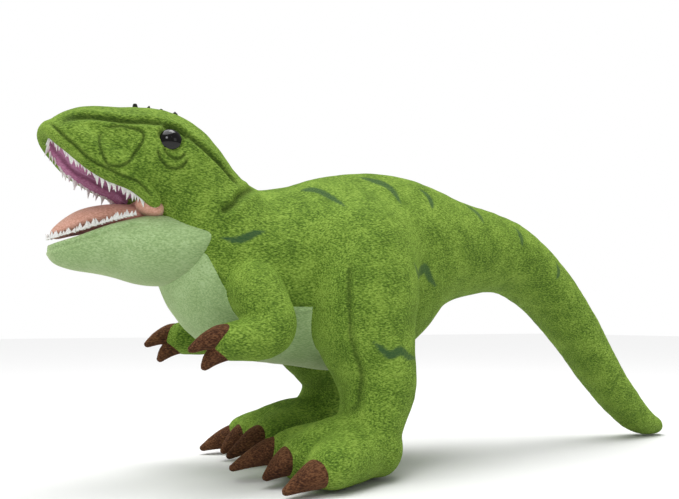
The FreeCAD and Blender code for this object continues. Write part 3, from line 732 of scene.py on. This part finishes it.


# Per-point attributes of every cover: the dyed stripe print, and painted shade in folds and on surfaces that
# face down.
COVER_PRINT_AND_SHADE = {"stripe": stripe_print, "shade": fold_shade}
green_plush = plush("green_plush", (0.06, 0.125, 0.012), (0.155, 0.275, 0.03), (0.30, 0.45, 0.07),
                    stripe=(0.03, 0.085, 0.035))
pale_plush = plush("pale_plush", (0.27, 0.41, 0.165), (0.36, 0.52, 0.23), (0.46, 0.62, 0.31), bump=0.4)


def metres(place):
    return tuple(float(v) * MM for v in place)


def finish_cover(name, shell, material, bodies, nodes, slot, start=None, end=None, fill=0.9, allowance=6.0):
    """Turns a cut cover's edge in and gives it its fabric; a cover on one body is tied to that body, and one
    that spans two is left where it is.
    """
    points, faces = seam_allowance(*shell, depth=allowance) if allowance else shell
    piece = make_piece(name, points, faces, COVER_PRINT_AND_SHADE)
    piece.data.materials.append(material)
    if len(bodies) == 2:
        metres(start)
        metres(end)
        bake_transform(piece)
    else:
        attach(piece, bodies[0])
    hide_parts(*nodes)
    return piece


# ---------------------------------------------------------------- tail
# Two long green plush panels, stuffed firm and sewn shut at the tip. The tail leaves the rump level and
# bends down to the ground; its cover is cut in three, at its root, its middle and before the tip.
points, rear_faces, trunk_faces = divide(points, trunk_faces, plane_measure((-15, 0, 0), (1, 0, 0)))
points, tail_faces, root_faces = divide(points, rear_faces, plane_measure((60, 0, 0), (1, 0, 0)))
points, tip_faces, middle_faces = divide(points, tail_faces,
                                         plane_measure((130, 0, 113), (0.7071, 0, -0.7071)))
finish_cover("tail_root_cover", (points, root_faces), green_plush, ("torso", "tail_base"),
             ("tail_base_cover", "tail_base_filling"), "green_plush", (-12, 0, 146), (48, 0, 146))
finish_cover("tail_middle_cover", (points, middle_faces), green_plush, ("tail_base", "tail_mid"),
             ("tail_mid_cover", "tail_mid_filling"), "green_plush", (76, 0, 148), (124, 0, 122))
finish_cover("tail_tip_cover", (points, tip_faces), green_plush, ("tail_mid", "tail_tip"),
             ("tail_tip_cover", "tail_tip_filling"), "green_plush", (144, 0, 103), (176, 0, 67))

# ---------------------------------------------------------------- legs and soles
# Each leg is two green plush panels with a broad flat thigh sewn to the flank, a shank and a long foot with
# three toes. A separate oval of plush closes the foot underneath.
torso_faces = trunk_faces
leg_parts, arm_parts = {}, {}
for side, hand in ((-1, "left"), (1, "right")):
    body_field, leg_field, arm_field = fields["body"], fields[f"leg_{hand}"], fields[f"arm_{hand}"]
    points, arm_parts[hand], torso_faces = divide(
        points, torso_faces,
        lambda p: np.minimum(sample(body_field, p) - sample(arm_field, p), p[:, 1] * side + 1),
    )
    points, leg_parts[hand], torso_faces = divide(
        points, torso_faces,
        lambda p: np.minimum(sample(body_field, p) - sample(leg_field, p), p[:, 1] * side + 1),
    )

for side, hand in ((-1, "left"), (1, "right")):
    points, upper, under = divide(points, leg_parts[hand], lambda p: p[:, 2] - 2.2)
    closing = hidden_part(fields[f"leg_{hand}"], fields["body"])
    leg_shell = joined(seam_allowance(points, upper, depth=3.0), closing)
    finish_cover(f"leg_plush_{hand}", leg_shell, green_plush, ("torso", f"leg_{hand}"),
                 (f"leg_cover_{hand}", f"leg_filling_{hand}"), "green_plush",
                 (-64, side * 50, 158), (-64, side * 50, 100), allowance=0)
    finish_cover(f"sole_plush_{hand}", (points, under), green_plush, (f"leg_{hand}",), (f"sole_{hand}",),
                 "green_plush", fill=0.8, allowance=2.0)

# ---------------------------------------------------------------- arms
# Short bent arms of green plush, sewn to the sides of the chest at the shoulder.
for side, hand in ((-1, "left"), (1, "right")):
    closing = hidden_part(fields[f"arm_{hand}"], fields["body"])
    arm_shell = joined(seam_allowance(points, arm_parts[hand], depth=3.0), closing)
    finish_cover(f"arm_plush_{hand}", arm_shell, green_plush, ("torso", f"arm_{hand}"),
                 (f"arm_cover_{hand}", f"arm_filling_{hand}"), "green_plush",
                 (-138, side * 45, 118), (-136, side * 48, 98), allowance=0)

# ---------------------------------------------------------------- torso and belly panel
# The green cover of the back and flanks, and the pale panel sewn in from throat to crotch.
points, green_faces, pale_faces = divide(points, torso_faces, lambda p: zone_distance(p, PALE_ZONE))
torso_shell = seam_allowance(points, green_faces)
for side, hand in ((-1, "left"), (1, "right")):
    limbs = np.minimum(fields[f"leg_{hand}"], fields[f"arm_{hand}"])
    torso_shell = joined(torso_shell, hidden_part(fields["body"], limbs))
TORSO_BEND = NECK - 28 * NECK_BACK, NECK - 6 * NECK_BACK
finish_cover("torso_plush", torso_shell, green_plush, ("torso", "neck"), ("torso_cover", "torso_filling"),
             "green_plush", *TORSO_BEND, allowance=0)
finish_cover("belly_plush", (points, pale_faces), pale_plush, ("torso", "neck"), ("belly_panel",),
             "pale_plush", *TORSO_BEND, allowance=3.0)

# ---------------------------------------------------------------- head
# Green plush over the skull and muzzle, pulled in round the eyes and along the brow, with a band sewn along
# the lip. The roof of the mouth is a lining of pink velour set inside the lips.
def lining_measure(points):
    """Above zero on the skin, below zero on the roof of the mouth inside the lip's roll."""
    roll_x, roll_y = zip(*sorted((x, y) for x, y, *_ in LIP_ROLL))
    inside_lip = np.abs(points[:, 1]) - np.interp(points[:, 0], roll_x, roll_y) + 1.0
    above = points[:, 2] - polyline_height(points[:, 0], UPPER_LIP) - 10
    return np.max([inside_lip, above, points[:, 0] + 198.5, -245 - points[:, 0]], axis=0)


points, skin_faces, roof_faces = divide(points, head_faces, lining_measure)
points, skin_faces, throat_faces = divide(points, skin_faces, lambda p: zone_distance(p, PALE_ZONE))
HEAD_BEND = NECK + 6 * NECK_FRONT, NECK + 24 * NECK_FRONT
finish_cover("head_plush", (points, skin_faces), green_plush, ("neck", "head"),
             ("head_cover", "head_filling", "neck_cover", "neck_filling"), "green_plush", *HEAD_BEND)
finish_cover("throat_plush", (points, throat_faces), pale_plush, ("neck", "head"), (), "pale_plush",
             *HEAD_BEND)
mouth_velour = plush("mouth_velour", (0.40, 0.15, 0.27), (0.52, 0.22, 0.37), (0.64, 0.30, 0.47), pile=1500,
                     bump=0.15)
finish_cover("palate_velour", (points, roof_faces), mouth_velour, ("head",), ("palate_lining",),
             "mouth_lining",
             fill=0.5, allowance=1.5)

# ---------------------------------------------------------------- jaw
# The pale lower jaw and the cheeks behind it are one stuffed piece, sewn under the head. Its floor is lined.
JAW = [
    (-240.5, 0, 133.5, 7.0, 1.5), (-231, 0, 135.5, 11.5, 1.36), (-218, 0, 139, 16.5, 1.27),
    (-204, 0, 139.5, 19.5, 1.36), (-190, 0, 137.5, 21.0, 1.50), (-176, 0, 137.5, 19.5, 1.66),
    (-164, 0, 143, 14.5, 2.15), (-157, 0, 148, 10.5, 2.7),
]
JAW_EDGE = [(-262, 134), (-246, 138.5), (-233, 142.5), (-216, 148.5), (-200, 153), (-190, 155), (-130, 155)]
uncut_jaw = new_field()
add_chain(uncut_jaw, JAW, blend=3.0, steps=4)
edge_height = polyline_height(X, JAW_EDGE)
jaw = soft_max(uncut_jaw, (Z - edge_height) * 0.95, 3.0)
floor_hollow = np.sqrt(((X + 216) / 30) ** 2 + (Y / 15) ** 2 + ((Z - edge_height) / 7) ** 2) - 1
jaw = soft_max(jaw, -floor_hollow * 7, 2.0)
jaw_points, jaw_faces = refine(*outward_surface(jaw))
JAW_LIP = [(x, z - 4.2) for x, z in JAW_EDGE[:5]]
jaw_rise = groove(jaw_points, JAW_LIP, 1.0, 0.9, 0, 0.4)
jaw_points = jaw_points + normals_of(jaw_points, jaw_faces) * jaw_rise[:, None]
jaw_points = np.hstack([jaw_points, normals_of(jaw_points, jaw_faces)])


def floor_measure(points):
    inside_lip = sample(uncut_jaw, points) + 2.4
    below = polyline_height(points[:, 0], JAW_EDGE) - 11 - points[:, 2]
    return np.maximum(np.maximum(inside_lip, below), points[:, 0] + 188)


jaw_points, jaw_skin, floor_faces = divide(jaw_points, jaw_faces, floor_measure)
JAW_BEND = NECK + 25 * NECK_FRONT, NECK + 45 * NECK_FRONT
finish_cover("jaw_plush", (jaw_points, jaw_skin), pale_plush, ("head", "jaw"),
             ("jaw_cover", "jaw_filling", "cheek_cover", "cheek_filling"), "pale_plush", *JAW_BEND,
             allowance=2.0)
finish_cover("floor_velour", (jaw_points, floor_faces), mouth_velour, ("head", "jaw"),
             ("mouth_floor_lining",), "mouth_lining", *JAW_BEND, fill=0.5, allowance=1.5)


def stuffed_horn(name, chains, material, bodies, nodes, slot, start=None, end=None, blend=1.0, less=None,
                 fill=0.8):
    """A small stuffed piece from chains of stations, refined so that its tip stays round."""
    field = new_field()
    for chain in chains:
        add_chain(field, chain, blend=blend, steps=4)
    if less is not None:
        field = np.maximum(field, less)
    own, own_faces = refine(*outward_surface(field))
    own = np.hstack([own, normals_of(own, own_faces)])
    return finish_cover(name, (own, own_faces), material, bodies, nodes, slot, start, end, fill=fill,
                        allowance=0)


# ---------------------------------------------------------------- tongue
# A thick tongue of peach velour, sewn at the back of the mouth.
tongue_velour = plush("tongue_velour", (0.58, 0.28, 0.20), (0.68, 0.36, 0.27), (0.78, 0.45, 0.35),
                      pile=1500, bump=0.15)
TONGUE = [(-243, 0, 143, 3.0, 1.8), (-236, 0, 147, 5.0, 1.9), (-226, 0, 151, 6.8, 1.9),
          (-212, 0, 153.5, 7.4, 2.0),
          (-198, 0, 154.5, 6.6, 2.4)]
stuffed_horn("tongue_plush", [TONGUE], tongue_velour, ("jaw",), ("tongue",), "tongue")

# ---------------------------------------------------------------- mouth corners
# A gusset of peach velour joins the roof and the floor at each corner of the mouth.
GUSSET = [
    [(-199, side * 17.5, 160, 3.6, 1.0), (-196, side * 20.5, 158, 3.2, 1.0),
     (-192, side * 23.5, 156.6, 2.0, 1.0)]
    for side in (-1, 1)
]
GUSSET.append([(-191, -16, 159, 7.0, 1.0), (-186, 0, 161, 10.0, 1.0), (-191, 16, 159, 7.0, 1.0)])
stuffed_horn("mouth_corner_gusset", GUSSET, tongue_velour, ("head", "jaw"), (), "tongue",
             *JAW_BEND, blend=3.0)

# ---------------------------------------------------------------- claws
# Tapered horns of dark brown plush, lightly stuffed and sewn into the ends of the toes and fingers.
claw_plush = plush("claw_plush", (0.035, 0.013, 0.006), (0.085, 0.033, 0.014), (0.17, 0.075, 0.033),
                   pile=1300, bump=0.45)
for side, hand in ((-1, "left"), (1, "right")):
    back = 15 if side > 0 else 0
    toes = [
        [(-115, 29, 17, 9.2, 1.0), (-124, 26.5, 16.5, 8.2, 1.0), (-135, 23, 12.5, 5.4, 1.0),
         (-146, 20.5, 7.5, 2.4, 1.0)],
        [(-116, 51, 16.5, 9.8, 1.0), (-123, 51, 15, 8.8, 1.0), (-131, 50.5, 11, 5.8, 1.0),
         (-138, 50, 6.2, 2.5, 1.0)],
        [(-113, 75.5, 12.5, 9.2, 1.0), (-121, 78, 11, 8.3, 1.0), (-131, 80, 8, 5.6, 1.0),
         (-141, 81, 4, 2.5, 1.0)],
    ]
    toes = [[(x + back, side * y, z, r, w) for x, y, z, r, w in toe] for toe in toes]
    stuffed_horn(f"foot_claw_plush_{hand}", toes, claw_plush, (f"leg_{hand}",), (f"foot_claws_{hand}",),
                 "claw", blend=0)
    back = 7 if side > 0 else 0
    fingers = [
        [(-159, 51, 86, 6.8, 1.0), (-166, 51.5, 86.5, 6.4, 1.0), (-175, 51.5, 83.5, 4.6, 1.0),
         (-182.5, 51, 79.5, 2.3, 1.0)],
        [(-157, 50, 80, 6.4, 1.0), (-164, 50, 78.5, 6.2, 1.0), (-170.5, 49.5, 74.5, 4.6, 1.0),
         (-174.5, 49.5, 69.8, 2.4, 1.0)],
    ]
    fingers = [[(x + back, side * y, z, r, w) for x, y, z, r, w in finger] for finger in fingers]
    stuffed_horn(f"hand_claw_plush_{hand}", fingers, claw_plush, (f"arm_{hand}",), (f"hand_claws_{hand}",),
                 "claw", blend=0)

# ---------------------------------------------------------------- teeth
# White felt cut in a zigzag and sewn in a row inside each lip.
felt = plush("white_felt", (0.70, 0.70, 0.66), (0.80, 0.80, 0.77), (0.90, 0.90, 0.87), pile=1800, bump=0.2)


def felt_tooth_tree():
    """Geometry nodes: flat pointed teeth along a curve, each a little different."""
    tree = bpy.data.node_groups.new("felt_teeth", "GeometryNodeTree")
    panel = {}
    panel["curve"] = tree.interface.new_socket("curve", in_out="INPUT", socket_type="NodeSocketGeometry")
    for label, default in (("spacing", 0.0018), ("tooth width", 0.0013), ("tooth length", 0.004),
                           ("felt", 0.45)):
        panel[label] = tree.interface.new_socket(label, in_out="INPUT", socket_type="NodeSocketFloat")
        panel[label].default_value = default
    panel["upwards"] = tree.interface.new_socket("upwards", in_out="INPUT", socket_type="NodeSocketFloat")
    panel["cloth"] = tree.interface.new_socket("cloth", in_out="INPUT", socket_type="NodeSocketMaterial")
    tree.interface.new_socket("teeth", in_out="OUTPUT", socket_type="NodeSocketGeometry")
    add, link = tree.nodes.new, tree.links.new
    given, result = add("NodeGroupInput"), add("NodeGroupOutput")
    places = add("GeometryNodeCurveToPoints")
    places.mode = "LENGTH"
    link(given.outputs["curve"], places.inputs["Curve"])
    link(given.outputs["spacing"], places.inputs["Length"])
    tooth = add("GeometryNodeMeshCone")
    tooth.inputs["Vertices"].default_value = 6
    tooth.inputs["Radius Top"].default_value = 0.0001
    link(given.outputs["tooth width"], tooth.inputs["Radius Bottom"])
    link(given.outputs["tooth length"], tooth.inputs["Depth"])
    flat = add("ShaderNodeCombineXYZ")
    flat.inputs["X"].default_value = 1.0
    link(given.outputs["felt"], flat.inputs["Y"])
    link(given.outputs["upwards"], flat.inputs["Z"])
    along = add("FunctionNodeAlignRotationToVector")
    along.axis, along.pivot_axis = "X", "Z"
    link(places.outputs["Tangent"], along.inputs["Vector"])
    lean = add("FunctionNodeRandomValue")
    lean.data_type = "FLOAT_VECTOR"
    lean.inputs["Min"].default_value = (-0.45, -0.4, -0.3)
    lean.inputs["Max"].default_value = (0.45, 0.4, 0.3)
    lean.inputs["Seed"].default_value = 3
    leant = add("FunctionNodeRotateRotation")
    leant.rotation_space = "LOCAL"
    link(along.outputs["Rotation"], leant.inputs["Rotation"])
    to_turn = add("FunctionNodeEulerToRotation")
    link(lean.outputs[0], to_turn.inputs["Euler"])
    link(to_turn.outputs["Rotation"], leant.inputs["Rotate By"])
    longer = add("FunctionNodeRandomValue")
    longer.data_type = "FLOAT"
    longer.inputs[2].default_value, longer.inputs[3].default_value = 0.7, 1.25
    longer.inputs["Seed"].default_value = 8
    sized = add("ShaderNodeVectorMath")
    sized.operation = "SCALE"
    link(flat.outputs["Vector"], sized.inputs[0])
    link(longer.outputs[1], sized.inputs["Scale"])
    row = add("GeometryNodeInstanceOnPoints")
    link(places.outputs["Points"], row.inputs["Points"])
    link(tooth.outputs["Mesh"], row.inputs["Instance"])
    link(leant.outputs["Rotation"], row.inputs["Rotation"])
    link(sized.outputs["Vector"], row.inputs["Scale"])
    real = add("GeometryNodeRealizeInstances")
    link(row.outputs["Instances"], real.inputs["Geometry"])
    dressed = add("GeometryNodeSetMaterial")
    link(real.outputs["Geometry"], dressed.inputs["Geometry"])
    link(given.outputs["cloth"], dressed.inputs["Material"])
    link(dressed.outputs["Geometry"], result.inputs["teeth"])
    return tree, {label: socket.identifier for label, socket in panel.items()}


TOOTH_TREE, TOOTH_INPUTS = felt_tooth_tree()


def tooth_row(name, right_side, length, body, node, upwards):
    """A row from the left corner round the front to the right corner, as a plain mesh."""
    route = [(x, -y, z) for x, y, z in reversed(right_side)] + list(right_side)
    curve = bpy.data.curves.new(name, "CURVE")
    curve.dimensions = "3D"
    spline = curve.splines.new("POLY")
    spline.points.add(len(route) - 1)
    for point, place in zip(spline.points, route):
        point.co = (*metres(place), 1)
    line = bpy.data.objects.new(f"{name}_line", curve)
    bpy.context.scene.collection.objects.link(line)
    rows = line.modifiers.new("teeth", "NODES")
    rows.node_group = TOOTH_TREE
    values = {"spacing": 0.0019, "tooth width": 0.0015, "tooth length": length * MM, "felt": 0.5,
              "upwards": upwards, "cloth": felt}
    for label, value in values.items():
        rows[TOOTH_INPUTS[label]] = value
    mesh = bpy.data.meshes.new_from_object(line.evaluated_get(bpy.context.evaluated_depsgraph_get()))
    line.modifiers.clear()
    bpy.data.objects.remove(line)
    shape = bmesh.new()
    shape.from_mesh(mesh)
    bmesh.ops.recalc_face_normals(shape, faces=shape.faces)
    shape.to_mesh(mesh)
    shape.free()
    mesh.name = name
    teeth = bpy.data.objects.new(name, mesh)
    bpy.context.scene.collection.objects.link(teeth)
    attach(teeth, body)
    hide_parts(node)
    return teeth


UPPER_ROW = [(x + 1.0, max(y - 1.4, 0.5), z - 3.6) for x, y, z, _, _ in LIP_ROLL[:9]]
LOWER_ROW = [(-247.5, 2, 139.5), (-244, 7, 140.5), (-236, 12, 143), (-226, 16.6, 146.5), (-214, 20, 150.5),
             (-205, 23, 153)]
tooth_row("upper_felt_teeth", UPPER_ROW, 5.6, "head", "upper_teeth", -1.0)
tooth_row("lower_felt_teeth", LOWER_ROW, 3.4, "jaw", "lower_teeth", 1.0)

# ---------------------------------------------------------------- crest
# Four short tufts of black yarn, sewn in a row along the crown.
yarn = plush("black_yarn", (0.006, 0.006, 0.005), (0.014, 0.013, 0.011), (0.03, 0.028, 0.025), pile=1600,
             bump=0.5)
NUBS = [(-197, 217.0, 1.9), (-189, 217.4, 1.4), (-181.5, 216.8, 1.5), (-173, 214.6, 2.0)]
tufts = [[(x, 0, z - 2.5, r * 1.25, 1.0), (x - 0.6, 0, z + r, r * 0.85, 1.0)] for x, z, r in NUBS]
stuffed_horn("crest_tufts", tufts, yarn, ("head",), ("crest_nubs",), "nub", blend=0)

# ---------------------------------------------------------------- eyes
# Domed black buttons on stems, held by washers inside the head.
def moulded(name, grain_scale, dark, light, surface):
    """Moulded plastic: a faint grain of two close colours, and what its surface does with light."""
    material = bpy.data.materials.new(name)
    material.use_nodes = True
    nodes, link = material.node_tree.nodes, material.node_tree.links.new
    shader = nodes["Principled BSDF"]
    grain = nodes.new("ShaderNodeTexNoise")
    grain.inputs["Scale"].default_value = grain_scale
    tint = nodes.new("ShaderNodeValToRGB")
    tint.color_ramp.elements[0].color, tint.color_ramp.elements[1].color = (*dark, 1), (*light, 1)
    where = nodes.new("ShaderNodeTexCoord")
    link(where.outputs["Object"], grain.inputs["Vector"])
    link(grain.outputs["Fac"], tint.inputs["Fac"])
    link(tint.outputs["Color"], shader.inputs["Base Color"])
    for label, value in surface.items():
        shader.inputs[label].default_value = value
    return material


button = moulded("eye_button", 900, (0.002, 0.002, 0.002), (0.008, 0.007, 0.006),
                 {"Roughness": 0.07, "Specular IOR Level": 0.3, "Coat Weight": 0.12, "Coat Roughness": 0.03})
white_plastic = moulded("washer_plastic", 400, (0.7, 0.7, 0.68), (0.8, 0.8, 0.78), {"Roughness": 0.4})
for hand in ("left", "right"):
    for node, material in ((f"eye_{hand}", button), (f"eye_washer_{hand}", white_plastic)):
        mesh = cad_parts[node].data
        mesh.materials.clear()
        mesh.materials.append(material)
